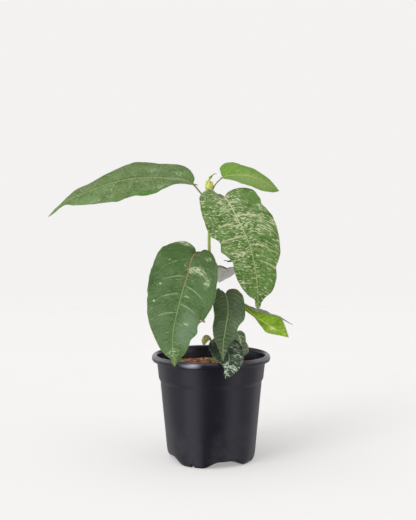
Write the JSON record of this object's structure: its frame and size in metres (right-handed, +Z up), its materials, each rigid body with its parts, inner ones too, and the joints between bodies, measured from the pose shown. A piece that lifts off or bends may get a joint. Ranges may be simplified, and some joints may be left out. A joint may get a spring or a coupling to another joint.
{
  "type": "potted clown fig",
  "caption": "Young variegated fig tree with large drip-tipped leaves on long stalks, growing in a round black nursery pot with a rolled rim.",
  "frame": {"origin": "middle of the pot's base, on the plane of its feet", "axes": "+Z up along the pot's axis, +X to the right of the front view, the front faces -Y"},
  "size_m": [0.2635, 0.163, 0.3259],
  "materials": {
    "pot_plastic": "satin, slightly dusty near-black",
    "potting_mix": "matte, rough, damp dark brown mix of peat, bark and coir",
    "stem_green": "satin pale green",
    "bud_green": "satin yellow-green",
    "leaf_green": "satin green with pale veins and cream mottling",
    "leaf_cream": "satin green, mottled with cream along the side veins",
    "leaf_bright": "satin bright green",
    "leaf_dark": "satin dark olive green",
    "leaf_grey": "satin dark grey-green with pale mottling",
    "leaf_olive": "satin olive with a brown margin"
  },
  "bodies": {
    "root": {"pot": "pot_plastic", "soil": "potting_mix", "stem": "stem_green", "tip_bud": "bud_green", "leaf_upper_left": "leaf_green", "leaf_upper_right": "leaf_bright", "leaf_large_right": "leaf_cream", "leaf_large_left": "leaf_green", "leaf_back": "leaf_green", "leaf_back_right": "leaf_cream", "leaf_dark_front": "leaf_dark", "leaf_over_rim": "leaf_grey", "leaf_in_pot_right": "leaf_grey", "leaf_small_left": "leaf_olive", "leaf_right_grey": "leaf_grey", "leaf_right_bright": "leaf_bright"}
  },
  "joints": []
}
